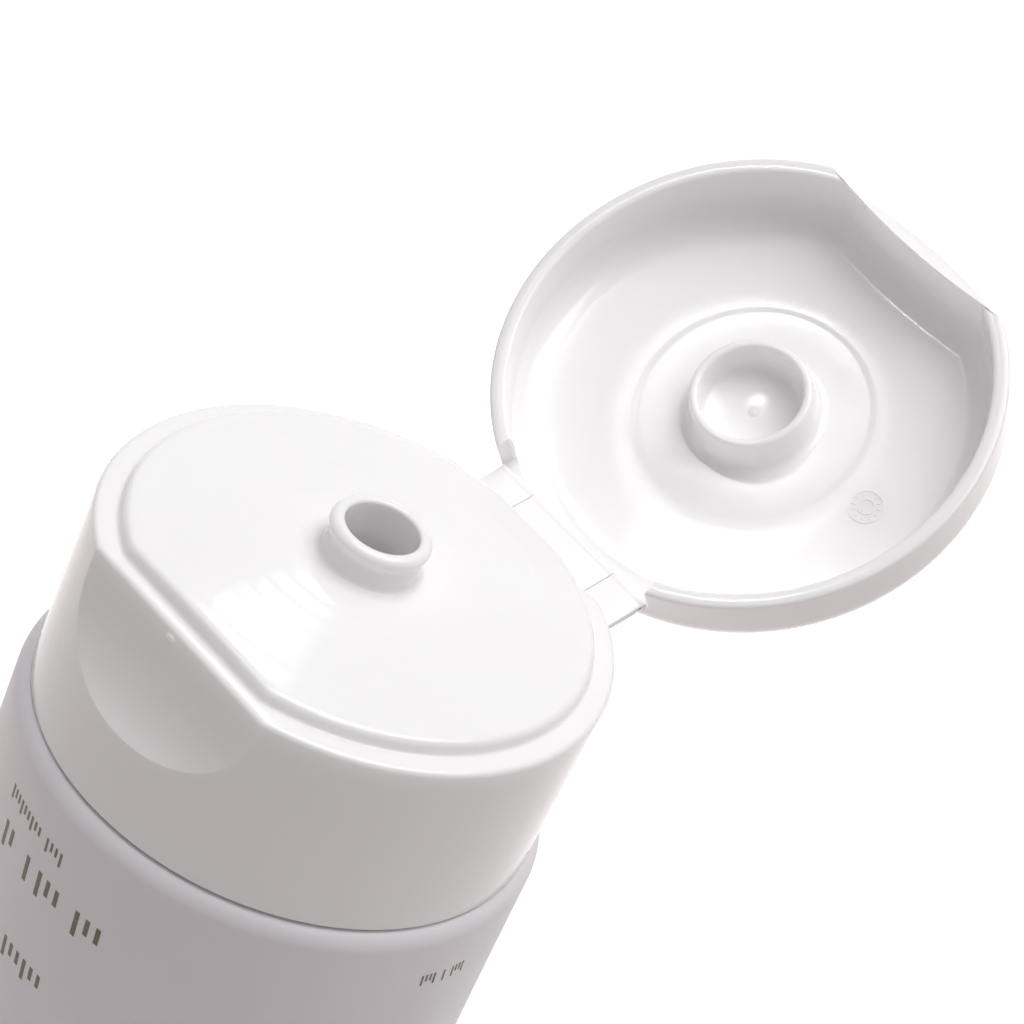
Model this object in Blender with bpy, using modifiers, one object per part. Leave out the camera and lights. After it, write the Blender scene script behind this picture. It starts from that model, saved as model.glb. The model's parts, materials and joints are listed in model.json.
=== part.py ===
"""Shaving cream tube with a moulded flip-top cap, modelled with the lid open.

Metres, +Z up. The origin is the middle of the tail's end edge, +Z runs along the tube to the
nozzle, +Y points to the cap's hinge and -Y to its thumb scoop. The cap is drawn closed, in
heights from its ledge plane, and the hinge pivots then swing the lid open.
"""
import math

import bmesh
import bpy
from mathutils import Vector

# Driving dimensions
CAP_R = 0.0194            # outer radius of cap and lid
TUBE_R = 0.0200           # outer radius of the round end of the sleeve
SLEEVE_TOP = 0.0900       # height of the sleeve's turned-in lip
SKIRT_H = 0.0153          # ledge plane to the bottom of the skirt
SKIRT_GAP = 0.0006        # skirt to sleeve
OPEN_ANGLE = math.radians(142.4)
GAP = 0.0003              # between pieces that touch
WALL = 0.0012             # moulded walls of the cap
STEPS = 48                # segments of a turned shape
SIDES = 44                # segments round the sleeve

CAP_Z = SLEEVE_TOP + SKIRT_GAP + SKIRT_H

# Cap base
LEDGE_W = 0.078 * CAP_R
DECK_EDGE_Z = 0.050 * CAP_R
DECK_TOP_Z = 0.110 * CAP_R
FRONT_Y = -0.878 * CAP_R
SCOOP_ARC = 0.50 * CAP_R
SCOOP_START = -0.125 * CAP_R
DECK_FRONT_Y = -0.815 * CAP_R
DECK_R = 0.900 * CAP_R
DECK_UNDER = -0.0012
BORE_R = 0.143 * CAP_R
SPOUT_TOP = 0.252 * CAP_R
SPOUT_FOOT_R = 0.215 * CAP_R

# Lid
LID_H = 0.355 * CAP_R
LID_ROUND = 0.160 * CAP_R
LID_IN_R = 0.935 * CAP_R
CEILING_Z = 0.288 * CAP_R
COVE_R = 0.155 * CAP_R
LID_FRONT_Y = -0.866 * CAP_R
LID_FRONT_IN_Y = -0.830 * CAP_R
LIP_ARC = 0.35 * CAP_R
RIM_ROUND = 0.0003

# Double film hinge
HINGE_Y = 0.895 * CAP_R
HINGE_LOW = -0.186 * CAP_R
HINGE_HIGH = 0.132 * CAP_R
HINGE_HALF_W = 0.435 * CAP_R
FILM = 0.00035            # length of each bending film
STRAP_T = 0.0009
TAB_T = 0.0006
STRAP_HALF_W = 0.235 * CAP_R
SWING_ROOM = 0.0012       # space under and over the strap as it turns

# Tube
WALL_TUBE = 0.0005
SHOULDER_ROUND = 0.0020
CREAM_GAP = 0.0010        # headspace round the fill
CRIMP_H = 0.0060
CRIMP_T = 0.0010
NECK_R = 0.0082
NECK_BORE_R = 0.0062

parts = bpy.data.collections.new("shaving_cream_tube")
cutters = bpy.data.collections.new("cutters")


def clear_scene():
    for obj in list(bpy.data.objects):
        bpy.data.objects.remove(obj, do_unlink=True)
    for collection in (parts, cutters):
        bpy.context.scene.collection.children.link(collection)


def make_material(name, colour, roughness, metallic=0.0):
    material = bpy.data.materials.new(name)
    material.use_nodes = True
    shader = material.node_tree.nodes["Principled BSDF"]
    shader.inputs["Base Color"].default_value = (*colour, 1.0)
    shader.inputs["Roughness"].default_value = roughness
    shader.inputs["Metallic"].default_value = metallic
    return material


def add_object(name, mesh, material=None):
    """A part when it has a material, otherwise a cutter."""
    obj = bpy.data.objects.new(name, mesh)
    if material:
        parts.objects.link(obj)
        mesh.materials.append(material)
        mesh.shade_smooth()
        mesh.set_sharp_from_angle(angle=math.radians(35))
    else:
        cutters.objects.link(obj)
        obj.hide_render = True
        obj.display_type = "WIRE"
    return obj


def turned(name, profile, material=None):
    """Turn a profile of (radius, height), drawn down its outer side, about Z."""
    mesh = bpy.data.meshes.new(name)
    count = len(profile)
    closed = profile[0][0] > 0.0
    edges = [(i, i + 1) for i in range(count - 1)]
    if closed:
        edges.append((count - 1, 0))
    mesh.from_pydata([(radius, 0.0, height) for radius, height in profile], edges, [])
    obj = add_object(name, mesh, material)
    screw = obj.modifiers.new("turn", "SCREW")
    screw.steps = STEPS
    screw.render_steps = STEPS
    screw.use_merge_vertices = True
    screw.merge_threshold = 0.00001
    screw.use_normal_calculate = False
    return obj


def arc(centre, radius, start, end, count):
    """Points on an arc from start to end, in degrees, in the profile's plane."""
    points = []
    for i in range(count + 1):
        angle = math.radians(start + (end - start) * i / count)
        points.append((centre[0] + radius * math.cos(angle), centre[1] + radius * math.sin(angle)))
    return points


def side_cutter(name, outline, half_width):
    """Extrude an outline of (y, z) along X, as a mesh for Booleans."""
    curve = bpy.data.curves.new(name, "CURVE")
    curve.dimensions = "2D"
    curve.fill_mode = "BOTH"
    curve.extrude = half_width
    spline = curve.splines.new("POLY")
    spline.points.add(len(outline) - 1)
    for point, (y, z) in zip(spline.points, outline):
        point.co = (y, z, 0.0, 1.0)
    spline.use_cyclic_u = True
    source = bpy.data.objects.new(name + "_outline", curve)
    cutters.objects.link(source)
    source.rotation_euler = (math.pi / 2, 0.0, math.pi / 2)
    bpy.context.view_layer.update()
    graph = bpy.context.evaluated_depsgraph_get()
    mesh = bpy.data.meshes.new_from_object(source.evaluated_get(graph))
    mesh.transform(source.matrix_world)
    bpy.data.objects.remove(source)
    weld = bmesh.new()
    weld.from_mesh(mesh)
    bmesh.ops.remove_doubles(weld, verts=weld.verts, dist=0.000001)
    bmesh.ops.recalc_face_normals(weld, faces=weld.faces)
    weld.to_mesh(mesh)
    weld.free()
    return add_object(name, mesh)


def box(name, low, high, material=None, bevel=0.0):
    mesh = bpy.data.meshes.new(name)
    shape = bmesh.new()
    bmesh.ops.create_cube(shape, size=1.0)
    size = Vector(high) - Vector(low)
    bmesh.ops.scale(shape, vec=size, verts=shape.verts)
    bmesh.ops.translate(shape, vec=(Vector(high) + Vector(low)) / 2, verts=shape.verts)
    shape.to_mesh(mesh)
    shape.free()
    obj = add_object(name, mesh, material)
    if bevel:
        rounding = obj.modifiers.new("rounding", "BEVEL")
        rounding.width = bevel
        rounding.segments = 3
        rounding.limit_method = "ANGLE"
    return obj


def boolean(obj, tool, operation="DIFFERENCE"):
    cut = obj.modifiers.new(tool.name, "BOOLEAN")
    cut.operation = operation
    cut.object = tool
    cut.solver = "EXACT"


def scoop_outline(front, offset):
    """The thumb scoop in side view: straight down from the ledge, then curling out."""
    centre = (front - SCOOP_ARC, SCOOP_START)
    bend = arc(centre, SCOOP_ARC + offset, 0.0, -62.0, 10)
    return [(-0.04, 0.01), (front + offset, 0.01)] + bend + [(-0.04, bend[-1][1])]


def lip_outline():
    """The lid's thumb lip in side view: hollow, leaning out from the rim to the crown."""
    bend = arc((LID_FRONT_Y - LIP_ARC, 0.0), LIP_ARC, 0.0, 75.0, 10)
    return [(-0.04, bend[-1][1])] + bend[::-1] + [(LID_FRONT_Y, -0.01), (-0.04, -0.01)]


def hinge_pocket(name, front_y, low_z, high_z, extra=0.0):
    """The notch that the strap and its end tabs lie in, or the backing round it."""
    half = HINGE_HALF_W + extra
    return box(name, (-half, front_y, low_z), (half, 0.03, high_z))


def sleeve_rings(inset, bottom, top, count):
    """Rings of (roundness, half depth, height, inset) from the flat tail to the round end."""
    rings = []
    for i in range(count + 1):
        height = bottom + (top - bottom) * i / count
        rise = (height - CRIMP_H) / (SLEEVE_TOP - SHOULDER_ROUND - CRIMP_H)
        swell = (rise + math.sin(math.pi / 2 * rise)) / 2
        rings.append((rise, max(CRIMP_T, TUBE_R * swell), height, inset))
    return rings


def ring_points(shape, ring):
    """Points round the sleeve, each on its line from the round end to the flat tail."""
    roundness, half_depth, height, inset = ring
    half_width = TUBE_R * (math.pi / 2 + (1 - math.pi / 2) * roundness)
    points = []
    for i in range(SIDES):
        turn = 2 * math.pi * i / SIDES
        flat_x = TUBE_R * (math.pi / 2 - math.acos(math.cos(turn)))
        x = flat_x + (TUBE_R * math.cos(turn) - flat_x) * roundness
        y = half_depth * math.sin(turn)
        place = (x * (1 - inset / half_width), y * (1 - inset / half_depth), height)
        points.append(shape.verts.new(place))
    return points


def bridge(shape, rings, closed):
    """Skin a run of rings, joined end to end when closed, otherwise capped flat."""
    loops = [ring_points(shape, ring) for ring in rings]
    pairs = list(zip(loops, loops[1:]))
    if closed:
        pairs.append((loops[-1], loops[0]))
    else:
        shape.faces.new(loops[0])
        shape.faces.new(loops[-1])
    for low, high in pairs:
        for i in range(SIDES):
            j = (i + 1) % SIDES
            shape.faces.new((low[i], low[j], high[j], high[i]))
    bmesh.ops.recalc_face_normals(shape, faces=shape.faces)


def lofted(name, rings, closed, material):
    mesh = bpy.data.meshes.new(name)
    shape = bmesh.new()
    bridge(shape, rings, closed)
    shape.to_mesh(mesh)
    shape.free()
    return add_object(name, mesh, material)


def build_sleeve(material):
    """Extruded sleeve: round under the cap, its lip turned in, drawn flat to the tail."""
    straight = SLEEVE_TOP - SHOULDER_ROUND
    lip_r = TUBE_R - SHOULDER_ROUND
    turn = arc((lip_r, straight), SHOULDER_ROUND, 0.0, 90.0, 4)
    turn_in = arc((lip_r, straight), SHOULDER_ROUND - WALL_TUBE, 90.0, 0.0, 4)
    outer = sleeve_rings(0.0, CRIMP_H + GAP, straight, 10)
    inner = sleeve_rings(WALL_TUBE, CRIMP_H + GAP, straight, 10)
    lip = [(1.0, TUBE_R, height, TUBE_R - radius) for radius, height in turn[1:] + turn_in[:-1]]
    return lofted("tube_sleeve", outer + lip + inner[::-1], True, material)


def build_crimp(material):
    """The tail, where both walls of the sleeve are welded into one strip."""
    half = math.pi * TUBE_R / 2
    return box("tail_crimp", (-half, -CRIMP_T / 2, 0.0), (half, CRIMP_T / 2, CRIMP_H), material)


def build_cream(material):
    """The fill, which takes up the sleeve below the head."""
    rings = sleeve_rings(WALL_TUBE + CREAM_GAP, 0.012, SLEEVE_TOP - 0.009, 6)
    return lofted("cream_fill", rings, False, material)


def build_head(material):
    """Shoulder and neck moulded on to the sleeve's end."""
    top = CAP_Z - 0.0032
    profile = [
        (NECK_R - 0.0003, top),
        (NECK_R, top - 0.0003),
        (NECK_R, top - 0.0022),
        (NECK_R + 0.0004, top - 0.0028),
        (NECK_R + 0.0004, top - 0.0034),
        (NECK_R, top - 0.0040),
        (NECK_R, SLEEVE_TOP + 0.0042),
        (NECK_R + 0.0006, SLEEVE_TOP + 0.0036),
        (TUBE_R - 0.0024, SLEEVE_TOP),
        (TUBE_R - 0.0024, SLEEVE_TOP - 0.0009),
        (TUBE_R - 0.0011, SLEEVE_TOP - 0.0018),
        (TUBE_R - 0.0015, SLEEVE_TOP - 0.0042),
        (TUBE_R - 0.0024, SLEEVE_TOP - 0.0042),
        (TUBE_R - 0.0024, SLEEVE_TOP - 0.0030),
        (NECK_R, SLEEVE_TOP + 0.0018),
        (NECK_BORE_R, SLEEVE_TOP + 0.0030),
        (NECK_BORE_R, top),
    ]
    return turned("tube_head", profile, material)


def build_base(material):
    """Skirt, ledge and raised deck, scooped for the thumb and notched for the hinge."""
    skirt_in = CAP_R - WALL
    body = [
        (0.0, 0.0),
        (CAP_R - 0.0004, 0.0),
        (CAP_R - 0.0001, -0.0001),
        (CAP_R, -0.0004),
        (CAP_R - 0.0001, -SKIRT_H + 0.0002),
        (CAP_R - 0.0003, -SKIRT_H),
        (0.0, -SKIRT_H),
    ]
    deck = [
        (0.0, DECK_TOP_Z),
        (SPOUT_FOOT_R + 0.0006, DECK_TOP_Z),
        (DECK_R - 0.0009, DECK_EDGE_Z + 0.0003),
        (DECK_R - 0.0003, DECK_EDGE_Z + 0.0001),
        (DECK_R, DECK_EDGE_Z - 0.0002),
        (DECK_R + 0.0002, 0.0003),
        (CAP_R - LEDGE_W, -0.0002),
        (CAP_R - LEDGE_W, -0.0006),
        (0.0, -0.0006),
    ]
    hollow = [(0.0, DECK_UNDER), (skirt_in - 0.0006, DECK_UNDER), (skirt_in, DECK_UNDER - 0.0006),
              (skirt_in, -0.03), (0.0, -0.03)]
    base = turned("cap_base", body, material)
    deck_block = turned("deck_block", deck)
    deck_block.rotation_euler.z = math.pi / STEPS
    boolean(deck_block, box("deck_front", (-0.03, -0.04, -0.01), (0.03, DECK_FRONT_Y, 0.02)))
    inside = turned("base_hollow", hollow)
    boolean(inside, side_cutter("scoop_backing", scoop_outline(FRONT_Y, WALL), 0.03))
    floor = HINGE_LOW - SWING_ROOM
    backing_y = HINGE_Y - FILM - WALL
    boolean(inside, hinge_pocket("base_hinge_backing", backing_y, floor - WALL, 0.01, WALL))
    boolean(base, side_cutter("scoop", scoop_outline(FRONT_Y, 0.0), 0.04))
    boolean(base, deck_block, "UNION")
    boolean(base, hinge_pocket("base_hinge_notch", HINGE_Y - FILM, floor, 0.02))
    boolean(base, inside)
    boolean(base, turned("deck_bore", [(0.0, 0.01), (BORE_R, 0.01), (BORE_R, -0.01), (0.0, -0.01)]))
    base.location.z = CAP_Z
    return base


def build_spout(material):
    """Dispensing spout: a flared foot, a waist and a rolled bead round the bore."""
    bead = (0.172 * CAP_R, 0.214 * CAP_R)
    foot = DECK_TOP_Z + GAP
    profile = [(BORE_R + 0.0001, SPOUT_TOP - 0.0001), (0.157 * CAP_R, SPOUT_TOP)]
    profile += arc(bead, 0.013 * CAP_R, 60.0, -60.0, 4)
    profile += [
        (0.178 * CAP_R, 0.196 * CAP_R),
        (0.185 * CAP_R, 0.170 * CAP_R),
        (0.196 * CAP_R, 0.140 * CAP_R),
        (SPOUT_FOOT_R, foot + 0.0001),
        (SPOUT_FOOT_R, foot),
        (BORE_R, foot),
        (BORE_R, SPOUT_TOP - 0.0003),
    ]
    spout = turned("nozzle_spout", profile, material)
    spout.location.z = CAP_Z
    return spout


def build_socket(material):
    """Sleeve under the deck that snaps over the neck's bead."""
    top = DECK_UNDER - GAP
    bore = NECK_R + 0.0008
    profile = [
        (bore + 0.0002, top),
        (bore + WALL, top),
        (bore + WALL, -0.0104),
        (bore + 0.0004, -0.0104),
        (bore - 0.0001, -0.0098),
        (bore - 0.0004, -0.0088),
        (bore - 0.0004, -0.0080),
        (bore, -0.0074),
        (bore, top - 0.0002),
    ]
    socket = turned("neck_socket", profile, material)
    socket.location.z = CAP_Z
    return socket


def build_plug(material):
    """Tapered plug seal inside the neck's mouth."""
    top = DECK_UNDER - GAP
    outer = NECK_BORE_R - GAP
    profile = [
        (outer - 0.0008, top),
        (outer, top),
        (outer, -0.0052),
        (outer - 0.0004, -0.0062),
        (outer - 0.0008, -0.0062),
    ]
    plug = turned("plug_seal", profile, material)
    plug.location.z = CAP_Z
    return plug


def build_lid(material):
    """Shallow lid with a rounded top edge, a coved ceiling and a hollow thumb lip."""
    wall_r = LID_IN_R - 0.0002
    crown = [(0.0, LID_H)]
    crown += arc((CAP_R - 0.0001 - LID_ROUND, LID_H - LID_ROUND), LID_ROUND, 90.0, 0.0, 6)
    crown += [(CAP_R, GAP + RIM_ROUND), (CAP_R - RIM_ROUND, GAP), (0.0, GAP)]
    room = [(0.0, CEILING_Z + 0.0002), (0.459 * CAP_R, CEILING_Z + 0.0002), (0.466 * CAP_R, CEILING_Z)]
    room += arc((wall_r - COVE_R, CEILING_Z - COVE_R), COVE_R, 90.0, 0.0, 6)
    room += [(LID_IN_R, 0.0), (LID_IN_R, -0.01), (0.0, -0.01)]
    lid = turned("lid_shell", crown, material)
    cavity = turned("lid_cavity", room)
    boolean(cavity, box("lid_front_wall", (-0.03, -0.04, -0.02), (0.03, LID_FRONT_IN_Y, 0.02)))
    boolean(lid, side_cutter("lip_hollow", lip_outline(), 0.04))
    boolean(lid, hinge_pocket("lid_hinge_notch", 0.8 * CAP_R, -0.01, HINGE_HIGH + SWING_ROOM))
    boolean(lid, cavity)
    return lid


def build_seal_ring(material):
    """Collar on the lid's ceiling that closes round the outside of the spout."""
    top = CEILING_Z - GAP
    rim = 0.135 * CAP_R
    profile = [
        (0.318 * CAP_R, top),
        (0.313 * CAP_R, 0.262 * CAP_R),
        (0.262 * CAP_R, 0.220 * CAP_R),
        (0.246 * CAP_R, 0.180 * CAP_R),
        (0.240 * CAP_R, rim + 0.0002),
        (0.232 * CAP_R, rim),
        (0.222 * CAP_R, rim + 0.0001),
        (0.213 * CAP_R, rim + 0.0004),
        (0.213 * CAP_R, top),
    ]
    return turned("lid_seal_ring", profile, material)


def build_hinge(material):
    """Strap and end tabs that stand between the two film lines."""
    low = HINGE_LOW + FILM
    high = HINGE_HIGH - FILM
    strap = box("hinge_strap", (-STRAP_HALF_W, HINGE_Y, low), (STRAP_HALF_W, HINGE_Y + STRAP_T, high),
                material, 0.0002)
    pieces = [strap]
    for name, side in (("hinge_tab_left", -1), ("hinge_tab_right", 1)):
        inner = side * (STRAP_HALF_W + GAP)
        outer = side * (HINGE_HALF_W - GAP)
        pieces.append(box(name, (min(inner, outer), HINGE_Y, low),
                          (max(inner, outer), HINGE_Y + TAB_T, high), material, 0.0002))
    return pieces


def add_pivot(name, parent, home, parent_home):
    """An empty on a film line; home is its place with the cap closed."""
    pivot = bpy.data.objects.new(name, None)
    parts.objects.link(pivot)
    pivot.parent = parent
    pivot.location = Vector(home) - Vector(parent_home)
    pivot.rotation_euler = (-OPEN_ANGLE / 2, 0.0, 0.0)
    return pivot


def hang(obj, pivot, home):
    """Fix a piece drawn in the closed cap's coordinates to a pivot."""
    obj.parent = pivot
    obj.location = -Vector(home)


def build():
    clear_scene()
    polypropylene = make_material("white_polypropylene", (0.90, 0.90, 0.91), 0.25)
    polyethylene = make_material("white_polyethylene", (0.86, 0.85, 0.86), 0.45)
    cream = make_material("shaving_cream", (0.92, 0.92, 0.90), 0.5)
    build_sleeve(polyethylene)
    build_crimp(polyethylene)
    build_head(polyethylene)
    build_cream(cream)
    build_base(polypropylene)
    build_spout(polypropylene)
    build_socket(polypropylene)
    build_plug(polypropylene)
    cap_seat = (0.0, 0.0, -CAP_Z)
    base_film = (0.0, HINGE_Y, HINGE_LOW)
    lid_film = (0.0, HINGE_Y, HINGE_HIGH)
    strap_pivot = add_pivot("strap_pivot", None, base_film, cap_seat)
    lid_pivot = add_pivot("lid_pivot", strap_pivot, lid_film, base_film)
    for piece in build_hinge(polypropylene):
        hang(piece, strap_pivot, base_film)
    hang(build_lid(polypropylene), lid_pivot, lid_film)
    hang(build_seal_ring(polypropylene), lid_pivot, lid_film)
    seat_cutters()


def seat_cutters():
    """Carry each cutter with the part that it shapes."""
    base = bpy.data.objects["cap_base"]
    lid = bpy.data.objects["lid_shell"]
    for tool in cutters.objects:
        tool.parent = lid if tool.name.startswith(("lid_", "lip_")) else base


build()
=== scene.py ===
"""Looks of a shaving cream tube with a flip-top cap, made round its frame.

Metres, +Z up. Pieces of the cap are drawn closed, in heights from the ledge plane, and are then
placed: the base by its height, the strap and the lid by turning about the two film lines.
"""
import json
import math

import bmesh
import bpy
from mathutils import Matrix, Vector


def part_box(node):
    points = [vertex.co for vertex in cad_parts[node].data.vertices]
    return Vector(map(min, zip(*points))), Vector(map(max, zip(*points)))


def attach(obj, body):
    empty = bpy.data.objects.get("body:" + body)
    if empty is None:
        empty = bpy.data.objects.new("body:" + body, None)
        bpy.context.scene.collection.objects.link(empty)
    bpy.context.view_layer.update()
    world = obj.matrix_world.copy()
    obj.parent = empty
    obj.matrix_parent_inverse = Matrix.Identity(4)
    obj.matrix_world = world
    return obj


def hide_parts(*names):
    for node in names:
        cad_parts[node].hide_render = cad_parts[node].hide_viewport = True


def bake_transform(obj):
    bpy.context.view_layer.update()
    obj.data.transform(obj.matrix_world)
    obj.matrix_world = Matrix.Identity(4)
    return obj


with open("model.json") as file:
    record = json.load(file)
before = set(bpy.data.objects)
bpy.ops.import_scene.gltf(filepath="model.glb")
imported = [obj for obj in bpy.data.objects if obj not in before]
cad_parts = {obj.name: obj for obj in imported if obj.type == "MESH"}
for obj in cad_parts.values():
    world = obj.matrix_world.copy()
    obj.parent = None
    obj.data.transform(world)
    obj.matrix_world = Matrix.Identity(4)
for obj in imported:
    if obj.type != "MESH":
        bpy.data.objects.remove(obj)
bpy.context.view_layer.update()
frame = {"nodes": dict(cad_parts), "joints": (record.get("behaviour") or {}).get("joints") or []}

MM = 0.001
SHARP_DEG = 32                        # edges that turn more than this stay crisp
MERGE = 0.001 * MM
base_low, base_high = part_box("cap_base")
crimp_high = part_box("tail_crimp")[1]
HALF_OPEN = math.radians(-frame["joints"][0]["range_deg"][0])     # each fold's turn, shut to rest

# Cap
CAP_R = base_high.x
SKIRT_H = 15.3 * MM
LEDGE = base_low.z + SKIRT_H          # height of the ledge plane
WALL = 1.2 * MM
SKIRT_DRAFT = 0.016                   # the skirt's radius lost for each metre down
FRONT_FLAT = 0.881 * CAP_R
SCOOP_ARC = 0.50 * CAP_R
SCOOP_START = -0.125 * CAP_R
SCOOP_DROP = 0.318 * CAP_R            # the scoop has run out to the round this far below its start
SKIRT_CHAMFER = 0.2 * MM
LEDGE_ROUND = 0.42 * MM
CREASE_ROUND = 0.35 * MM
DECK_R = 0.900 * CAP_R
DECK_FLAT = 0.810 * CAP_R
DECK_CORNER = 0.075 * CAP_R
DECK_EDGE_Z = 0.052 * CAP_R
DECK_TOP_Z = 0.110 * CAP_R
DECK_ROUND = 0.50 * MM
DECK_LEAN = 0.05 * MM                 # the deck's side leans out by this to its foot
DECK_FOOT = 0.28 * MM
DECK_CIRCLES_R = 0.78 * CAP_R         # runs are circles out to here, then take the deck's outline
WAVE_FROM = 0.06                      # the deck's waves, as shares of the way to its edge
WAVE_TO = 0.80
WAVE_H = 0.0007 * CAP_R
DECK_UNDER = -1.2 * MM
BORE_R = 0.143 * CAP_R
SPOUT_FOOT_R = 0.212 * CAP_R

# Lid
LID_H = 0.355 * CAP_R
LID_ROUND = 0.160 * CAP_R
LID_DRAFT = 0.030                     # the lid's radius lost for each metre up
LID_SEAT = 0.3 * MM                   # the rim clears the ledge by this
LID_IN_R = 0.935 * CAP_R
LID_IN_FLAT = 0.846 * CAP_R
LID_IN_CORNER = 0.8 * MM
LIP_FLAT = 0.875 * CAP_R
LIP_ARC = 0.35 * CAP_R
LIP_BOW = 3.17 * CAP_R                # radius of the lip's bow, seen from above
RIM_ROUND = 0.26 * MM
CEILING_Z = 0.288 * CAP_R
CROWN_RISE = 0.12 * MM                # the crown's dome
COVE_R = 0.115 * CAP_R
STEP_R = 0.466 * CAP_R                # a fine step round the ceiling
STEP_H = 0.06 * MM

# Double film hinge
HINGE_Y = 0.895 * CAP_R
HINGE_LOW = -0.186 * CAP_R
HINGE_HIGH = 0.132 * CAP_R
HINGE_HALF_W = 0.435 * CAP_R
BACK_FLAT = HINGE_Y - 0.15 * MM
NOTCH_FLOOR = HINGE_LOW - 1.2 * MM
LID_NOTCH_Y = 0.835 * CAP_R
LID_NOTCH_TOP = HINGE_HIGH + 0.75 * MM
STRAP_HALF_W = 0.235 * CAP_R
STRAP_T = 0.70 * MM
TAB_T = 0.6 * MM
HINGE_SLIT = 0.05 * MM                # between the strap and a tab
HINGE_END_GAP = 0.3 * MM              # between a tab and the notch's side
PLATE_END = 0.30 * MM                 # from a plate's end to its fold line
PLATE_TAPER = 0.75 * MM
FILM_T = 0.28 * MM
FILM_LIFT = 0.02 * MM                 # a film's inside stands off the plates' by this
FILM_REACH = 0.6 * MM                 # a film runs this far each side of its fold line

# Tube
TUBE_R = 20.0 * MM
TUBE_WALL = 0.5 * MM
INNER_SKIN = 0.45 * MM                # thinner than the wall, so the sides stay apart at the tail
SHOULDER_ROUND = 1.3 * MM
SLEEVE_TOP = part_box("tube_sleeve")[1].z + 0.5 * MM      # the sleeve all but meets the skirt
CRIMP_T = 1.0 * MM
CRIMP_GAP = 0.05 * MM                 # between the weld and the sleeve's outside
INK_T = 0.02 * MM

# Stations along half of an outline
ARC_STATIONS = 92
FLAT_STATIONS = 16
CORNER_STATIONS = 6
ROUND_TURN = math.radians(4)           # turn the flat's stations take where there is no flat

UPRIGHT = Matrix.Identity(4)
TO_BASE = Matrix.Translation((0.0, 0.0, LEDGE))


def about(y, z, angle):
    """A turn about a line along X."""
    line = Matrix.Translation((0.0, y, z))
    return line @ Matrix.Rotation(angle, 4, "X") @ line.inverted()


TO_STRAP = TO_BASE @ about(HINGE_Y, HINGE_LOW, -HALF_OPEN)
TO_LID = TO_STRAP @ about(HINGE_Y, HINGE_HIGH, -HALF_OPEN)


# ---------------------------------------------------------------- materials

def srgb(code):
    """An sRGB hex colour as linear RGBA."""
    channels = [int(code[i:i + 2], 16) / 255 for i in (0, 2, 4)]
    linear = [c / 12.92 if c <= 0.04045 else ((c + 0.055) / 1.055) ** 2.4 for c in channels]
    return (*linear, 1.0)


def add(tree, kind, settings=None, **inputs):
    """Add a node; inputs are values or sockets, named with _ for spaces."""
    node = tree.nodes.new(kind)
    for key, value in (settings or {}).items():
        setattr(node, key, value)
    for key, value in inputs.items():
        name = key.replace("_", " ").strip()
        socket = node.inputs[int(name)] if name.isdigit() else node.inputs[name]
        if isinstance(value, bpy.types.NodeSocket):
            tree.links.new(value, socket)
        else:
            socket.default_value = value
    return node


def new_material(name):
    material = bpy.data.materials.new(name)
    material.use_nodes = True
    tree = material.node_tree
    tree.nodes.clear()
    output = tree.nodes.new("ShaderNodeOutputMaterial")
    shader = tree.nodes.new("ShaderNodeBsdfPrincipled")
    tree.links.new(shader.outputs["BSDF"], output.inputs["Surface"])
    return material, tree, shader


def surface(tree, shader, pattern, tones, roughness, relief=()):
    """Colour and roughness that go between two values with a pattern, and relief laid on in
    turn, each as (height, depth)."""
    ramp = add(tree, "ShaderNodeValToRGB", Fac=pattern)
    for stop, position, tone in zip(ramp.color_ramp.elements, (0.3, 0.7), tones):
        stop.position = position
        stop.color = srgb(tone)
    tree.links.new(ramp.outputs["Color"], shader.inputs["Base Color"])
    low, high = roughness
    spread = add(tree, "ShaderNodeMapRange", _Value=pattern, To_Min=low, To_Max=high)
    tree.links.new(spread.outputs["Result"], shader.inputs["Roughness"])
    target = shader
    for height, depth in reversed(relief):
        bump = add(tree, "ShaderNodeBump", Height=height, Distance=depth, Strength=1.0)
        tree.links.new(bump.outputs["Normal"], target.inputs["Normal"])
        target = bump


def soft_body(shader, weight, reach_mm):
    """Light that enters a white plastic and leaves a little way off."""
    shader.inputs["Subsurface Weight"].default_value = weight
    shader.inputs["Subsurface Radius"].default_value = (1.0, 0.98, 0.97)
    shader.inputs["Subsurface Scale"].default_value = reach_mm * MM


def seen(tree):
    """1 for rays from the lens and off gloss, 0 for the rays that light things."""
    ray = tree.nodes.new("ShaderNodeLightPath")
    either = add(tree, "ShaderNodeMath", {"operation": "MAXIMUM"}, _0=ray.outputs["Is Camera Ray"],
                 _1=ray.outputs["Is Glossy Ray"])
    return either.outputs["Value"]


def polypropylene(name="polypropylene_moulded", reach_mm=1.2):
    """Injection-moulded polypropylene, polished mould: clean white, glossy, with the faint
    waviness and cloudy gloss that melt flow leaves. Plates too thin for light to spread in
    are given no reach."""
    material, tree, shader = new_material(name)
    place = add(tree, "ShaderNodeTexCoord").outputs["Object"]
    flow = add(tree, "ShaderNodeTexNoise", Vector=place, Scale=1 / (9 * MM), Detail=3.0)
    skin = add(tree, "ShaderNodeTexNoise", Vector=place, Scale=1 / (2.2 * MM), Detail=2.0)
    surface(tree, shader, flow.outputs["Fac"], ("FBF8F9", "FDFBFC"), (0.09, 0.15),
            [(skin.outputs["Fac"], 0.012 * MM)])
    shader.inputs["IOR"].default_value = 1.49
    if reach_mm:
        soft_body(shader, weight=0.6, reach_mm=reach_mm)
    return material


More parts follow.
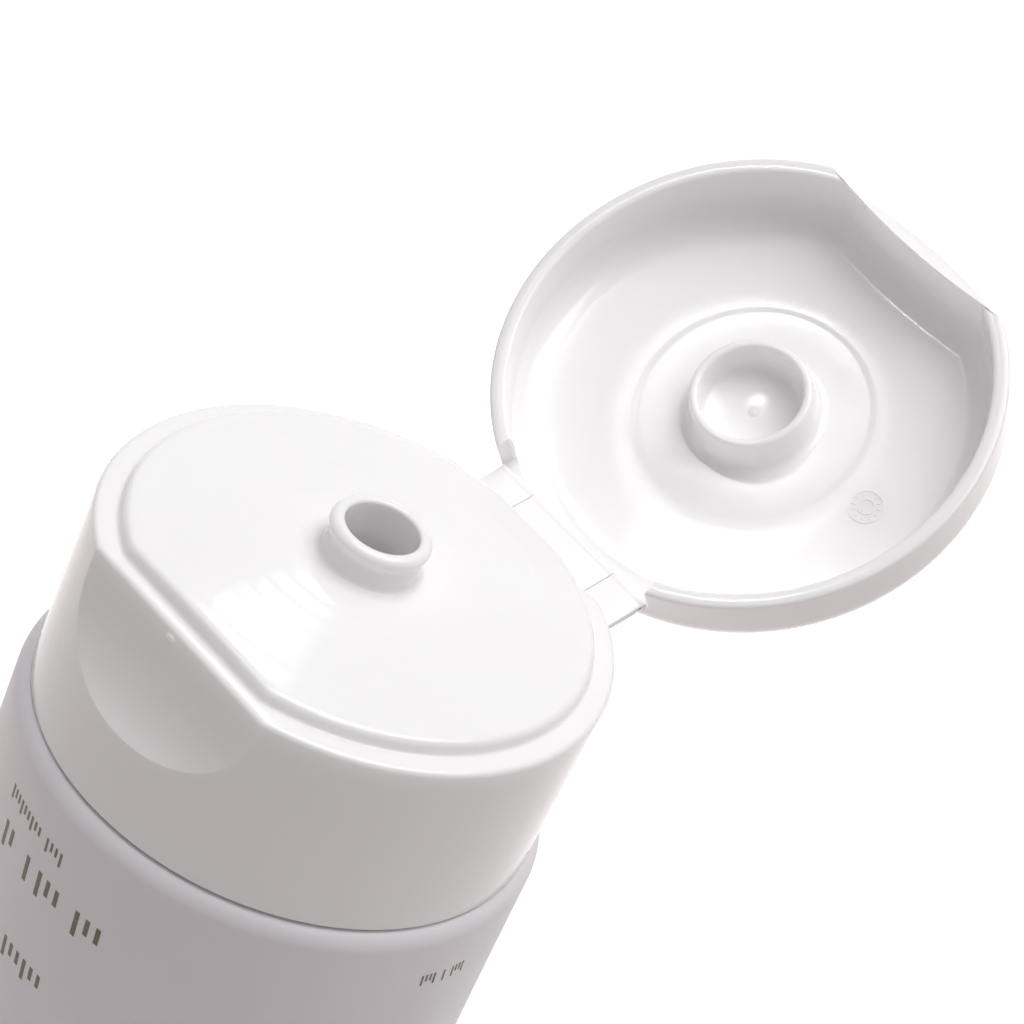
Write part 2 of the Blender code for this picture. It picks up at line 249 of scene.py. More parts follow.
def polyethylene_sleeve():
    """Extruded low-density polyethylene: satin, with fine lines drawn along the tube."""
    material, tree, shader = new_material("polyethylene_extruded")
    place = add(tree, "ShaderNodeTexCoord").outputs["Object"]
    drawn = add(tree, "ShaderNodeMapping", Vector=place, Scale=(1.0, 1.0, 0.04))
    lines = add(tree, "ShaderNodeTexNoise", Vector=drawn.outputs["Vector"], Scale=1 / (0.9 * MM), Detail=2.0)
    cloud = add(tree, "ShaderNodeTexNoise", Vector=place, Scale=1 / (14 * MM), Detail=3.0)
    surface(tree, shader, cloud.outputs["Fac"], ("E8E5E9", "EEEBEF"), (0.40, 0.50),
            [(lines.outputs["Fac"], 0.010 * MM)])
    shader.inputs["IOR"].default_value = 1.51
    soft_body(shader, weight=0.15, reach_mm=1.0)
    return material


def polyethylene_head():
    """Compression-moulded polyethylene, unpolished: milky and dull."""
    material, tree, shader = new_material("polyethylene_moulded")
    place = add(tree, "ShaderNodeTexCoord").outputs["Object"]
    grain = add(tree, "ShaderNodeTexNoise", Vector=place, Scale=1 / (0.5 * MM), Detail=3.0)
    surface(tree, shader, grain.outputs["Fac"], ("E9E7E9", "F0EEF0"), (0.45, 0.60),
            [(grain.outputs["Fac"], 0.02 * MM)])
    shader.inputs["IOR"].default_value = 1.51
    soft_body(shader, weight=0.2, reach_mm=1.5)
    return material


def shaving_cream():
    """Brushless cream: soft white with small air marks and a wet sheen."""
    material, tree, shader = new_material("cream_brushless")
    place = add(tree, "ShaderNodeTexCoord").outputs["Object"]
    folds = add(tree, "ShaderNodeTexNoise", Vector=place, Scale=1 / (5 * MM), Detail=4.0)
    air = add(tree, "ShaderNodeTexVoronoi", Vector=place, Scale=1 / (1.5 * MM))
    surface(tree, shader, folds.outputs["Fac"], ("F1EFE9", "F8F7F3"), (0.30, 0.45),
            [(folds.outputs["Fac"], 0.4 * MM), (air.outputs["Distance"], 0.08 * MM)])
    soft_body(shader, weight=0.3, reach_mm=2.0)
    return material


def printing_ink():
    """Screen-printed olive ink: flat colour with slight thin spots."""
    material, tree, shader = new_material("ink_screen_printed")
    place = add(tree, "ShaderNodeTexCoord").outputs["Object"]
    spots = add(tree, "ShaderNodeTexNoise", Vector=place, Scale=1 / (0.35 * MM), Detail=2.0)
    surface(tree, shader, spots.outputs["Fac"], ("4C4430", "6A6046"), (0.40, 0.55),
            [(spots.outputs["Fac"], 0.01 * MM)])
    return material


def studio_floor():
    """Seamless paper: matt white with a trace of tooth. It glows only where it is seen, which
    keeps the ground clean without lighting the cap from below."""
    material, tree, shader = new_material("paper_seamless")
    place = add(tree, "ShaderNodeTexCoord").outputs["Object"]
    tooth = add(tree, "ShaderNodeTexNoise", Vector=place, Scale=1 / (1.5 * MM), Detail=2.0)
    surface(tree, shader, tooth.outputs["Fac"], ("C4BCBA", "CAC2C0"), (0.85, 0.95))
    shader.inputs["Emission Color"].default_value = (1.0, 1.0, 1.0, 1.0)
    glow = add(tree, "ShaderNodeMath", {"operation": "MULTIPLY"}, _0=seen(tree), _1=0.75)
    tree.links.new(glow.outputs["Value"], shader.inputs["Emission Strength"])
    return material


# ---------------------------------------------------------------- outlines and skins

def flat_side(radius, flat, corner, bow):
    """Half of a flat and its corner, as (across, out) from the flat's middle, and where the
    round takes over. A bow hollows the flat by an arc of that radius."""
    across = math.sqrt((radius - corner) ** 2 - (flat - corner) ** 2)
    turn = math.atan2(across, flat - corner)
    points = []
    for i in range(FLAT_STATIONS):
        x = across * i / FLAT_STATIONS
        hollow = (across ** 2 - x ** 2) / (2 * bow) if bow else 0.0
        points.append((x, flat - hollow))
    for i in range(CORNER_STATIONS + 1):
        angle = turn * i / CORNER_STATIONS
        points.append((across + corner * math.sin(angle), flat - corner + corner * math.cos(angle)))
    return points, turn


def round_side(radius):
    """The same stations where nothing is cut off the round."""
    count = FLAT_STATIONS + CORNER_STATIONS
    turns = [ROUND_TURN * i / count for i in range(count + 1)]
    return [(radius * math.sin(turn), radius * math.cos(turn)) for turn in turns], ROUND_TURN


def half_outline(radius, front=math.inf, back=math.inf, corner=CREASE_ROUND, bow=None):
    """Half of a round outline with a flat in front or behind, from front middle to back middle."""
    sides = []
    for flat in (front, back):
        cut = flat < radius
        sides.append(flat_side(radius, flat, corner, bow) if cut else round_side(radius))
    (front_side, front_turn), (back_side, back_turn) = sides
    sweep = math.pi - front_turn - back_turn
    points = [(x, -y) for x, y in front_side]
    for i in range(1, ARC_STATIONS):
        angle = front_turn + sweep * i / ARC_STATIONS
        points.append((radius * math.sin(angle), -radius * math.cos(angle)))
    return points + back_side[::-1]


def spokes(outline, radius):
    """The outline's stations, brought along their spokes to one radius."""
    return [(x * radius / math.hypot(x, y), y * radius / math.hypot(x, y)) for x, y in outline]


def between(first, second, share):
    return [(a + (c - a) * share, b + (d - b) * share) for (a, b), (c, d) in zip(first, second)]


def lift(outline, height):
    """Stand an outline at one height, or at a height worked out from each station's radius."""
    if callable(height):
        return [(x, y, height(math.hypot(x, y))) for x, y in outline]
    return [(x, y, height) for x, y in outline]


def quarter(count, first=0):
    """Steps through a quarter turn, each as (1 - sine, 1 - cosine)."""
    for i in range(first, count + 1):
        turn = math.pi / 2 * i / count
        yield 1 - math.sin(turn), 1 - math.cos(turn)


def skin(runs, closed=True):
    """Bridge run after run into half a shell, and mirror it."""
    bm = bmesh.new()
    rows = []
    for run in runs:
        corners = [bm.verts.new(point) for point in run]
        rows.append([bm.edges.new(pair) for pair in zip(corners, corners[1:])])
    pairs = list(zip(rows, rows[1:]))
    if closed:
        pairs.append((rows[-1], rows[0]))
    for row, following in pairs:
        bmesh.ops.bridge_loops(bm, edges=row + following)
    whole = bm.verts[:] + bm.edges[:] + bm.faces[:]
    bmesh.ops.mirror(bm, geom=whole, matrix=Matrix.Identity(4), merge_dist=MERGE, axis="X")
    return bm


def spun(profile, steps=160):
    """Turn a profile of (radius, height) about Z; one that starts off the axis is closed first."""
    bm = bmesh.new()
    corners = [bm.verts.new((radius, 0.0, height)) for radius, height in profile]
    edges = [bm.edges.new(pair) for pair in zip(corners, corners[1:])]
    if profile[0][0] > 0.0:
        edges.append(bm.edges.new((corners[-1], corners[0])))
    bmesh.ops.spin(bm, geom=corners + edges, cent=(0, 0, 0), axis=(0, 0, 1), angle=2 * math.pi,
                   steps=steps, use_merge=True)
    return bm


def arc(centre, radius, start, end, count):
    """Points on an arc from start to end, in degrees."""
    turns = [math.radians(start + (end - start) * i / count) for i in range(count + 1)]
    return [(centre[0] + radius * math.cos(t), centre[1] + radius * math.sin(t)) for t in turns]


def extruded(outline, start_x, end_x):
    """Push an outline of (y, z) along X."""
    bm = bmesh.new()
    face = bm.faces.new([bm.verts.new((start_x, y, z)) for y, z in outline])
    grown = bmesh.ops.extrude_face_region(bm, geom=[face])["geom"]
    moved = [item for item in grown if isinstance(item, bmesh.types.BMVert)]
    bmesh.ops.translate(bm, verts=moved, vec=(end_x - start_x, 0.0, 0.0))
    return bm


def block(size, centre=(0.0, 0.0, 0.0)):
    bm = bmesh.new()
    bmesh.ops.create_cube(bm, size=1.0)
    bmesh.ops.scale(bm, vec=size, verts=bm.verts)
    bmesh.ops.translate(bm, vec=centre, verts=bm.verts)
    return bm


def round_edges(bm, radius, segments):
    bmesh.ops.bevel(bm, geom=bm.edges[:], offset=radius, segments=segments, profile=0.5,
                    affect="EDGES", material=-1)


def joined(shapes):
    """Several shapes as one."""
    whole = bmesh.new()
    for shape in shapes:
        part = bpy.data.meshes.new("part")
        shape.to_mesh(part)
        whole.from_mesh(part)
        shape.free()
        bpy.data.meshes.remove(part)
    return whole


def make(name, bm, material, place=TO_BASE, sharp_deg=SHARP_DEG):
    """Close, turn outwards, place and show a shape."""
    bmesh.ops.remove_doubles(bm, verts=bm.verts, dist=MERGE)
    bmesh.ops.dissolve_degenerate(bm, edges=bm.edges, dist=MERGE / 2)
    bmesh.ops.recalc_face_normals(bm, faces=bm.faces)
    bm.transform(place)
    mesh = bpy.data.meshes.new(name)
    bm.to_mesh(mesh)
    bm.free()
    mesh.materials.append(material)
    mesh.shade_smooth()
    mesh.set_sharp_from_angle(angle=math.radians(sharp_deg))
    obj = bpy.data.objects.new(name, mesh)
    bpy.context.scene.collection.objects.link(obj)
    return obj


def give(obj, body, slot, *nodes):
    """Hang a piece on the body it rides on and hide the parts that it stands for. The slot for its finish is
    not used.
    """
    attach(obj, body)
    if nodes:
        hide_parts(*nodes)
    return obj


def combine(obj, tool, operation):
    """Cut a tool's shape out of a piece, or fuse it on, and keep the result."""
    change = obj.modifiers.new("combine", "BOOLEAN")
    change.object = tool
    change.operation = operation
    change.solver = "EXACT"
    graph = bpy.context.evaluated_depsgraph_get()
    mesh = bpy.data.meshes.new_from_object(obj.evaluated_get(graph))
    obj.modifiers.remove(change)
    obj.data = mesh
    bpy.data.objects.remove(tool)
    mesh.shade_smooth()
    mesh.set_sharp_from_angle(angle=math.radians(SHARP_DEG))


# ---------------------------------------------------------------- cap base

def scoop_flat(height):
    """How far the scooped front stands from the axis at a height."""
    drop = max(0.0, SCOOP_START - height)
    if drop >= SCOOP_ARC:
        return math.inf
    return FRONT_FLAT + SCOOP_ARC - math.sqrt(SCOOP_ARC ** 2 - drop ** 2)


def skirt_outline(height, inset=0.0, notched=True):
    """The skirt at a height, with the same stations where the hinge's notch is filled out."""
    radius = CAP_R + SKIRT_DRAFT * height - inset
    outline = half_outline(radius, scoop_flat(height) - inset, BACK_FLAT - inset)
    if notched:
        return outline
    middle = len(outline) // 2
    return outline[:middle] + spokes(outline[middle:], radius)


def skirt_levels():
    """Heights down the skirt: closer together near the tip of the scoop."""
    count = 30
    scoop = [SCOOP_START - SCOOP_DROP * math.sin(math.pi / 2 * i / count) for i in range(count + 1)]
    return scoop + [-0.46 * CAP_R, -0.55 * CAP_R, -0.66 * CAP_R, -SKIRT_H + SKIRT_CHAMFER]


def skirt_wall(inset):
    """Runs down the skirt, with the floor of the hinge notch as a step."""
    floor = NOTCH_FLOOR - inset
    runs = []
    for height in skirt_levels():
        if height < floor and runs and runs[-1][0][2] > floor:
            runs.append(lift(skirt_outline(floor, inset), floor))
            runs.append(lift(skirt_outline(floor, inset, False), floor))
        runs.append(lift(skirt_outline(height, inset, height > floor), height))
    return runs


def deck_height(radius):
    """The deck falls from the spout to its edge in six faint waves, left by the mould."""
    share = (radius - SPOUT_FOOT_R) / (DECK_R - SPOUT_FOOT_R)
    wave = 0.0
    if WAVE_FROM < share < WAVE_TO:
        wave = WAVE_H * math.sin(6 * math.pi * (share - WAVE_FROM) / (WAVE_TO - WAVE_FROM)) ** 2
    return DECK_TOP_Z + (DECK_EDGE_Z - DECK_TOP_Z) * share + wave


def deck_outline(inset):
    back = BACK_FLAT - max(inset, 0.0)
    return half_outline(DECK_R - inset, DECK_FLAT - inset, back, DECK_CORNER - inset)


def deck_runs():
    """From the bore's rim over the deck and its rounded edge to the ledge."""
    edge = deck_outline(DECK_ROUND)
    inner = spokes(edge, DECK_CIRCLES_R)
    count = 36
    runs = []
    for i in range(count + 1):
        radius = BORE_R + (DECK_CIRCLES_R - BORE_R) * i / count
        runs.append(lift(spokes(edge, radius), deck_height))
    for i in range(1, 6):
        runs.append(lift(between(inner, edge, i / 5), deck_height))
    for inset, drop in quarter(6, 1):
        outline = deck_outline(DECK_ROUND * inset)
        runs.append(lift(outline, lambda radius, drop=drop: deck_height(radius) - DECK_ROUND * drop))
    for rise, spread in quarter(5):
        runs.append(lift(deck_outline(-DECK_LEAN - DECK_FOOT * spread), DECK_FOOT * rise))
    return runs


def ledge_runs():
    """The rounded outer edge of the ledge, left square where the hinge stands."""
    runs = []
    for in_share, drop_share in quarter(6):
        inset = LEDGE_ROUND * in_share
        height = -LEDGE_ROUND * drop_share
        radius = CAP_R + SKIRT_DRAFT * height - inset
        runs.append(lift(half_outline(radius, FRONT_FLAT - inset, BACK_FLAT), height))
    return runs


def cap_base(material):
    outside = deck_runs() + ledge_runs() + skirt_wall(0.0)
    foot = [lift(skirt_outline(-SKIRT_H, inset, False), -SKIRT_H) for inset in (SKIRT_CHAMFER, WALL)]
    inside = skirt_wall(WALL)[::-1]
    ceiling_edge = skirt_outline(DECK_UNDER, WALL)
    under = [lift(ceiling_edge, DECK_UNDER)]
    for radius in (0.7 * CAP_R, 0.4 * CAP_R, BORE_R):
        under.append(lift(spokes(ceiling_edge, radius), DECK_UNDER))
    base = make("cap_base_moulding", skin(outside + foot + inside + under), material)
    combine(base, spout(material), "UNION")
    combine(base, gate_nub(material), "UNION")
    return give(base, "tube", "cap_plastic", "cap_base", "nozzle_spout")


def gate_nub(material):
    """The stub that the mould's gate leaves under the ledge, in the scoop."""
    bm = bmesh.new()
    bmesh.ops.create_uvsphere(bm, u_segments=20, v_segments=12, radius=0.34 * MM)
    bmesh.ops.scale(bm, vec=(1.5, 0.55, 0.9), verts=bm.verts)
    bmesh.ops.translate(bm, vec=(-0.02 * CAP_R, -FRONT_FLAT, -0.045 * CAP_R), verts=bm.verts)
    return make("scoop_gate_nub", bm, material)


def spout(material):
    """Mouth, rolled bead, waist and flared foot round the bore, with a root sunk in the deck."""
    foot_z = deck_height(SPOUT_FOOT_R)
    root_z = foot_z - 0.2 * MM
    profile = arc((BORE_R + 0.25 * MM, 0.246 * CAP_R), 0.25 * MM, 180, 90, 4)
    profile += arc((0.165 * CAP_R, 0.2295 * CAP_R), 0.030 * CAP_R, 80, -35, 9)
    profile += [(0.1835 * CAP_R, 0.199 * CAP_R), (0.1815 * CAP_R, 0.185 * CAP_R)]
    profile += [(0.182 * CAP_R, 0.165 * CAP_R), (0.186 * CAP_R, 0.145 * CAP_R)]
    profile += arc((0.213 * CAP_R, foot_z + 0.024 * CAP_R), 0.024 * CAP_R, 180, 262, 6)
    profile += [(0.235 * CAP_R, root_z), (BORE_R - 0.02 * MM, root_z)]
    return make("spout_moulding", spun(profile), material)


# ---------------------------------------------------------------- lid

def lid_radius(height):
    rise = max(0.0, height - (LID_H - LID_ROUND))
    return CAP_R - LID_DRAFT * height - LID_ROUND + math.sqrt(max(0.0, LID_ROUND ** 2 - rise ** 2))


def lid_outline(height, inset=0.0):
    """The lid's outside at a height: the thumb lip leans out from the rim to the crown."""
    lean = LIP_ARC - math.sqrt(max(0.0, LIP_ARC ** 2 - height ** 2))
    return half_outline(lid_radius(height) - inset, LIP_FLAT + lean - inset, bow=LIP_BOW)


def room_outline(inset):
    return half_outline(LID_IN_R - inset, LID_IN_FLAT - inset, corner=LID_IN_CORNER, bow=LIP_BOW)


def lid_outside():
    """From the rim over the wall and the rounded edge to the middle of the crown."""
    runs = []
    for rise, inset in quarter(4):
        height = LID_SEAT + RIM_ROUND * rise
        runs.append(lift(lid_outline(height, RIM_ROUND * inset), height))
    runs.reverse()
    straight = LID_H - LID_ROUND
    for i in range(1, 11):
        height = LID_SEAT + RIM_ROUND + (straight - LID_SEAT - RIM_ROUND) * i / 10
        runs.append(lift(lid_outline(height), height))
    for i in range(1, 31):
        height = straight + LID_ROUND * math.sin(math.pi / 2 * i / 30)
        runs.append(lift(lid_outline(height), height))
    edge = lid_outline(LID_H)
    for share in (0.9, 0.6, 0.3, 0.0):
        radius = share * lid_radius(LID_H)
        runs.append(lift(spokes(edge, radius), LID_H + CROWN_RISE * (1 - share ** 2)))
    return runs


def lid_inside():
    """From the middle of the ceiling over its step and cove to the rim."""
    flat_edge = room_outline(COVE_R)
    step = (
        (0.0, STEP_H),
        (0.30 * CAP_R, STEP_H),
        (STEP_R - 0.35 * MM, STEP_H),
        (STEP_R - 0.10 * MM, 0.75 * STEP_H),
        (STEP_R + 0.10 * MM, 0.25 * STEP_H),
        (STEP_R + 0.35 * MM, 0.0),
    )
    runs = [lift(spokes(flat_edge, radius), CEILING_Z + height) for radius, height in step]
    inner = spokes(flat_edge, 0.60 * CAP_R)
    for i in range(5):
        runs.append(lift(between(inner, flat_edge, i / 4), CEILING_Z))
    for inset, drop in quarter(14, 1):
        runs.append(lift(room_outline(COVE_R * inset), CEILING_Z - COVE_R * drop))
    runs.append(lift(room_outline(0.0), LID_SEAT + RIM_ROUND))
    for rise, spread in quarter(3, 1):
        runs.append(lift(room_outline(-RIM_ROUND * spread), LID_SEAT + RIM_ROUND * rise))
    return runs


def lid(material):
    """The lid is worked shut and upright, and is turned open once it is whole."""
    walls = skin(lid_inside() + lid_outside(), closed=False)
    shell = make("lid_moulding", walls, material, UPRIGHT)
    low = Vector((-HINGE_HALF_W, LID_NOTCH_Y, -2 * MM))
    high = Vector((HINGE_HALF_W, 1.2 * CAP_R, LID_NOTCH_TOP))
    notch = block(high - low, (high + low) / 2)
    round_edges(notch, 0.3 * MM, 4)
    combine(shell, make("lid_notch_tool", notch, material, UPRIGHT), "DIFFERENCE")
    combine(shell, seal_ring(material), "UNION")
    shell.data.transform(TO_LID)
    return give(shell, "lid", "cap_plastic", "lid_shell", "lid_seal_ring")


def seal_ring(material):
    """Collar that closes round the spout: root, soft foot, walls, and a floor with a gate mark."""
    root_z = CEILING_Z + 0.3 * MM
    profile = [(0.0, root_z), (0.292 * CAP_R, root_z)]
    profile += arc((0.292 * CAP_R, 0.250 * CAP_R), 0.040 * CAP_R, 90, 174, 9)
    profile += [(0.2475 * CAP_R, 0.22 * CAP_R), (0.2425 * CAP_R, 0.17 * CAP_R)]
    profile += arc((0.227 * CAP_R, 0.149 * CAP_R), 0.014 * CAP_R, 0, -90, 5)
    profile += arc((0.219 * CAP_R, 0.149 * CAP_R), 0.014 * CAP_R, -90, -180, 5)
    profile += [(0.2035 * CAP_R, 0.20 * CAP_R), (0.202 * CAP_R, 0.245 * CAP_R)]
    profile += arc((0.172 * CAP_R, 0.252 * CAP_R), 0.030 * CAP_R, 0, 90, 6)
    profile += [(0.12 * CAP_R, 0.288 * CAP_R), (0.05 * CAP_R, 0.291 * CAP_R)]
    profile += [(0.022 * CAP_R, 0.291 * CAP_R), (0.018 * CAP_R, 0.286 * CAP_R)]
    profile += [(0.010 * CAP_R, 0.283 * CAP_R), (0.0, 0.282 * CAP_R)]
    return make("seal_ring_moulding", spun(profile), material, UPRIGHT)


def date_dial(material):
    """The mould's date stamp on the ceiling: two fine rings, ticks round them and a pointer."""
    relief = 0.05 * MM
    half_line = 0.075 * MM
    shapes = []
    for radius in (1.35 * MM, 0.62 * MM):
        low_r, high_r = radius - half_line, radius + half_line
        shapes.append(spun([(low_r, relief), (high_r, relief), (high_r, -relief), (low_r, -relief)], 48))
    for i in range(12):
        tick = block((0.10 * MM, 0.30 * MM, 2 * relief), (0.0, 1.0 * MM, 0.0))
        tick.transform(Matrix.Rotation(math.tau * i / 12, 4, "Z"))
        shapes.append(tick)
    shapes.append(block((0.12 * MM, 0.9 * MM, 2 * relief)))
    place = TO_LID @ Matrix.Translation((0.615 * CAP_R, -0.033 * CAP_R, CEILING_Z))
    return give(make("ceiling_date_dial", joined(shapes), material, place), "lid", "cap_plastic")


# ---------------------------------------------------------------- hinge

def hinge_spans():
    """Where the strap and the two tabs lie across the hinge."""
    near = STRAP_HALF_W + HINGE_SLIT
    far = HINGE_HALF_W - HINGE_END_GAP
    return {"strap": (-STRAP_HALF_W, STRAP_HALF_W), "tab_left": (-far, -near), "tab_right": (near, far)}


def plate_outline(thickness):
    """Side view of a hinge plate, closed: thin where the films meet it, thick between."""
    low = HINGE_LOW + PLATE_END
    high = HINGE_HIGH - PLATE_END
    return [
        (HINGE_Y, low),
        (HINGE_Y, high),
        (HINGE_Y + FILM_T, high),
        (HINGE_Y + thickness, high - PLATE_TAPER),
        (HINGE_Y + thickness, low + PLATE_TAPER),
        (HINGE_Y + FILM_T, low),
    ]


def hinge_plates(material):
    for name, (start_x, end_x) in hinge_spans().items():
        thickness = STRAP_T if name == "strap" else TAB_T
        bm = extruded(plate_outline(thickness), start_x, end_x)
        bmesh.ops.recalc_face_normals(bm, faces=bm.faces)
        round_edges(bm, 0.10 * MM, 3)
        obj = make(f"{name}_moulding", bm, material, TO_STRAP)
        give(obj, "hinge_link", "cap_plastic", f"hinge_{name}")


def film_path(turn):
    """Side view of a film from its fixed end, down the closed wall, to the end that has turned,
    as (distance along, turn so far)."""
    count = 10
    path = []
    for i in range(count + 1):
        share = i / count
        eased = share * share * (3 - 2 * share)
        path.append(((2 * share - 1) * FILM_REACH, turn * eased))
    return path


def film(name, place, hinge_z, material):
    """The bending films on one fold line, one for the strap and one for each tab."""
    shapes = []
    for start_x, end_x in hinge_spans().values():
        near, far = [], []
        for along, bend in film_path(-HALF_OPEN):
            for row, depth in ((near, FILM_LIFT), (far, FILM_T)):
                y = depth * math.cos(bend) - along * math.sin(bend)
                z = depth * math.sin(bend) + along * math.cos(bend)
                row.append((HINGE_Y + y, hinge_z + z))
        shapes.append(extruded(near + far[::-1], start_x, end_x))
    obj = make(name, joined(shapes), material, place)
    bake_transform(obj)
    return obj


# ---------------------------------------------------------------- tube

def sleeve_station(turn, height, proud):
    """A point of the sleeve's skin: round at the shoulder, drawn flat towards the tail.
    Turn goes from the front's middle (-90 degrees) to the back's middle (90)."""
    rise = (height - crimp_high.z) / (SLEEVE_TOP - SHOULDER_ROUND - crimp_high.z)
    rise = min(1.0, max(0.0, rise))
    swell = (rise + math.sin(math.pi / 2 * rise)) / 2
    half_depth = max(CRIMP_T / 2 + CRIMP_GAP, TUBE_R * swell)
    half_width = TUBE_R * (math.pi / 2 + (1 - math.pi / 2) * rise)
    flat_x = TUBE_R * (math.pi / 2 - math.acos(math.cos(turn)))
    x = flat_x + (TUBE_R * math.cos(turn) - flat_x) * rise
    y = half_depth * math.sin(turn)
    return (x * (1 + proud / half_width), y * (1 + proud / half_depth), height)


def sleeve_run(height, proud, count=90):
    return [sleeve_station(math.pi * (i / count - 0.5), height, proud) for i in range(count + 1)]


def sleeve(material):
    """Extruded sleeve with its lip turned in over the head, drawn flat to the weld."""
    straight = SLEEVE_TOP - SHOULDER_ROUND
    start = crimp_high.z + CRIMP_GAP
    levels = [start + (straight - start) * i / 40 for i in range(41)]
    outer = [sleeve_run(height, 0.0) for height in levels]
    inner = [sleeve_run(height, -INNER_SKIN) for height in levels[::-1]]
    lip = []
    for radius, reverse in ((SHOULDER_ROUND, False), (SHOULDER_ROUND - TUBE_WALL, True)):
        bend = []
        for i in range(1, 10):
            turn = math.pi / 2 * i / 9
            proud = radius * math.cos(turn) - SHOULDER_ROUND
            level = sleeve_run(straight, proud)
            bend.append([(x, y, straight + radius * math.sin(turn)) for x, y, z in level])
        lip += bend[::-1] if reverse else bend
    obj = make("sleeve_extruded", skin(outer + lip + inner), material, UPRIGHT, 60)
    return give(obj, "tube", "tube_plastic", "tube_sleeve")


def crimp(material):
    """The welded tail, pressed into fine ridges by the jaws."""
    grooves = 9
    groove = 0.14 * MM
    margin = 0.5 * MM
    chamfer = 0.1 * MM
    half = CRIMP_T / 2
    front, back = [], []
    for i in range(grooves * 2 + 1):
        height = margin + (crimp_high.z - 2 * margin) * i / (grooves * 2)
        depth = half - (groove if i % 2 else 0.0)
        front.append((-depth, height))
        back.append((depth, height))
    outline = [(-half + chamfer, 0.0)] + front + [(-half, crimp_high.z), (half, crimp_high.z)]
    outline += back[::-1] + [(half - chamfer, 0.0)]
    bm = extruded(outline, -crimp_high.x, crimp_high.x)
    obj = make("tail_weld", bm, material, UPRIGHT, 20)
    return give(obj, "tube", "tube_plastic", "tail_crimp")


def print_bar(start_deg, length, height, tall):
    """One printed bar, half sunk in the sleeve's skin; degrees go round from the front to +X."""
    columns = max(2, round(length / (0.5 * MM)))
    bm = bmesh.new()
    rows = []
    for proud in (-INK_T, INK_T):
        for z in (height, height + tall):
            row = []
            for i in range(columns + 1):
                turn = math.radians(start_deg - 90) + length / TUBE_R * i / columns
                row.append(bm.verts.new(sleeve_station(turn, z, proud)))
            rows.append([bm.edges.new(pair) for pair in zip(row, row[1:])])
    low_in, high_in, low_out, high_out = rows
    for row, following in ((low_out, high_out), (high_out, high_in), (high_in, low_in), (low_in, low_out)):
        bmesh.ops.bridge_loops(bm, edges=row + following)
    bmesh.ops.holes_fill(bm, edges=bm.edges[:], sides=4)
    return bm


def print_word(start_deg, length, foot, tall):
    """A word's worth of strokes, long and short by turns. They hang from the foot of the line,
    because the copy is read with the cap down."""
    pitch = 0.42 * tall
    count = max(1, round(length / pitch))
    strokes = []
    for i in range(count):
        reach = tall if i % 3 == 0 else 0.64 * tall
        place = start_deg + math.degrees(i * pitch / TUBE_R)
        strokes.append(print_bar(place, 0.17 * tall, foot - reach, reach))
    return strokes


def print_lines(material):
    """Printed copy, shown as lines of plain strokes grouped like words. A line gives where it
    starts round the sleeve, its foot, its height and the lengths of its words in millimetres."""
    lines = [
        (-19.0, 82.6 * MM, 2.4 * MM, (2.4, 0.4, 3.0, 2.6)),
        (-20.0, 85.9 * MM, 1.3 * MM, (4.8, 2.4)),
        (-27.0, 73.9 * MM, 2.0 * MM, (5.2, 5.0)),
        (84.0, 86.6 * MM, 0.9 * MM, (1.6, 0.5, 1.5)),
    ]
    strokes = []
    for start, foot, tall, words in lines:
        place = start
        for word in words:
            strokes += print_word(place, word * MM, foot, tall)
            place += math.degrees((word * MM + 0.5 * tall) / TUBE_R)
    return give(make("sleeve_print", joined(strokes), material, UPRIGHT), "tube", "tube_plastic")


# ---------------------------------------------------------------- studio

def camera():
    """Looks down at the cap from the front right, with the tube leaning to the lower left."""
    azimuth = math.radians(32.281)
    elevation = math.radians(33.640)
    roll = math.radians(25.622)
    distance = 15.373 * CAP_R
    aim = Vector((0.1929 * CAP_R, 0.4244 * CAP_R, LEDGE + 0.3844 * CAP_R))
    back = Vector((math.sin(azimuth) * math.cos(elevation), -math.cos(azimuth) * math.cos(elevation),
                   math.sin(elevation)))
    data = bpy.data.cameras.new("camera")
    data.lens = 150.07
    data.sensor_width = 36.0
    data.clip_start = 0.01
    data.clip_end = 20.0
    eye = bpy.data.objects.new("camera", data)
    bpy.context.scene.collection.objects.link(eye)
    level = (-back).to_track_quat("-Z", "Y").to_matrix().to_4x4()
    eye.matrix_world = Matrix.Translation(aim + back * distance) @ level @ Matrix.Rotation(roll, 4, "Z")
    bpy.context.scene.camera = eye


def lamp(name, aim, direction, distance, length, width, power, along=(1.0, 0.0, 0.0)):
    """A soft box that faces a point from a direction, its length laid along another."""
    data = bpy.data.lights.new(name, "AREA")
    data.shape = "RECTANGLE"
    data.size = length
    data.size_y = width
    data.energy = power
    obj = bpy.data.objects.new(name, data)
    bpy.context.scene.collection.objects.link(obj)
    towards = Vector(direction).normalized()
    across = towards.cross(Vector(along)).normalized()
    axes = Matrix((across.cross(towards), across, towards)).transposed().to_4x4()
    obj.matrix_world = Matrix.Translation(aim + towards * distance) @ axes


def mirrored(spot, normal):
    """The direction from which a spot on a polished face throws light into the lens."""
    to_eye = (bpy.context.scene.camera.location - spot).normalized()
    return 2 * normal.dot(to_eye) * normal - to_eye


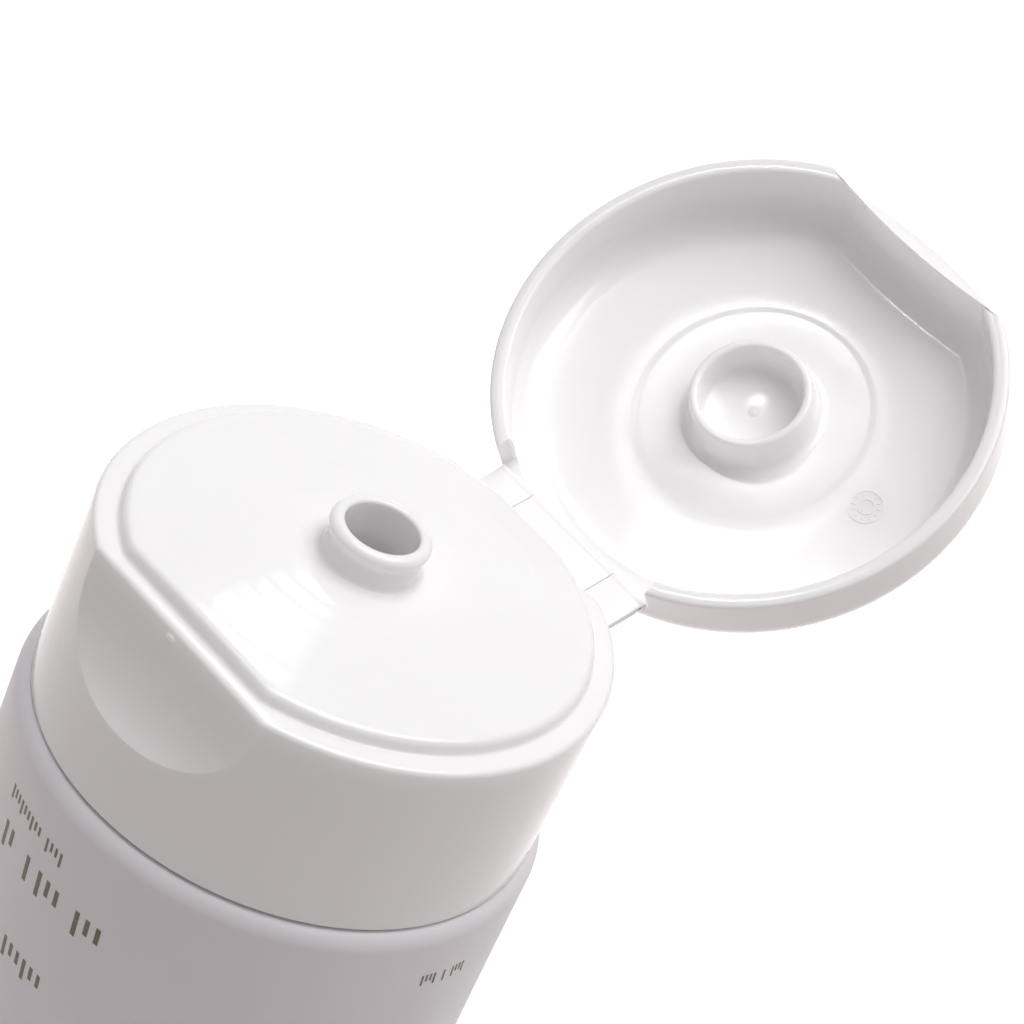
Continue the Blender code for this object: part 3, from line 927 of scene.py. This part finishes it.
def studio():
    """White all round, a large soft box overhead, and two small windows that the gloss shows."""
    world = bpy.data.worlds.new("studio")
    bpy.context.scene.world = world
    world.use_nodes = True
    tree = world.node_tree
    tree.nodes.clear()
    output = tree.nodes.new("ShaderNodeOutputWorld")
    backdrop = add(tree, "ShaderNodeBackground", Color=(1.0, 1.0, 1.0, 1.0), Strength=1.05)
    fill = add(tree, "ShaderNodeBackground", Color=(1.0, 0.97, 0.98, 1.0), Strength=0.26)
    mix = add(tree, "ShaderNodeMixShader", _0=seen(tree), _1=fill.outputs["Background"],
              _2=backdrop.outputs["Background"])
    tree.links.new(mix.outputs["Shader"], output.inputs["Surface"])
    cap_middle = Vector((0.0, 0.0, LEDGE))
    lamp("softbox_top", cap_middle, (0.05, 0.14, 1.0), distance=2.4, length=2.1, width=2.1, power=50.5)
    deck_spot = TO_BASE @ Vector((0.13 * CAP_R, -0.62 * CAP_R, DECK_EDGE_Z))
    window = mirrored(deck_spot, Vector((0.017, -0.083, 0.996)))
    lamp("window_deck", deck_spot, window, distance=0.7, length=0.055, width=0.022, power=0.050)
    lid_spot = TO_LID @ Vector((0.34 * CAP_R, 0.48 * CAP_R, CEILING_Z))
    window = mirrored(lid_spot, TO_LID.to_3x3() @ Vector((0.0, 0.0, -1.0)))
    lamp("window_lid", lid_spot, window, distance=0.6, length=0.034, width=0.010, power=0.060,
         along=(0.24, -0.345, -0.267))


def floor(material):
    bm = bmesh.new()
    bmesh.ops.create_grid(bm, x_segments=1, y_segments=1, size=3.0)
    obj = make("floor", bm, material, UPRIGHT)


def build():
    camera()
    studio()
    floor(studio_floor())
    cap_plastic = polypropylene()
    sleeve_plastic = polyethylene_sleeve()
    cap_base(cap_plastic)
    lid(cap_plastic)
    thin_plastic = polypropylene("polypropylene_thin", 0)
    date_dial(thin_plastic)
    hinge_plates(thin_plastic)
    film("base_film", TO_BASE, HINGE_LOW, thin_plastic)
    film("lid_film", TO_STRAP, HINGE_HIGH, thin_plastic)
    sleeve(sleeve_plastic)
    crimp(sleeve_plastic)
    print_lines(printing_ink())
    kept = {"tube_head": polyethylene_head(), "cream_fill": shaving_cream(),
            "neck_socket": cap_plastic, "plug_seal": cap_plastic}
    for node, material in kept.items():
        obj = frame["nodes"][node]
        obj.data.materials.clear()
        obj.data.materials.append(material)


build()
bpy.context.scene.view_settings.view_transform = "Standard"
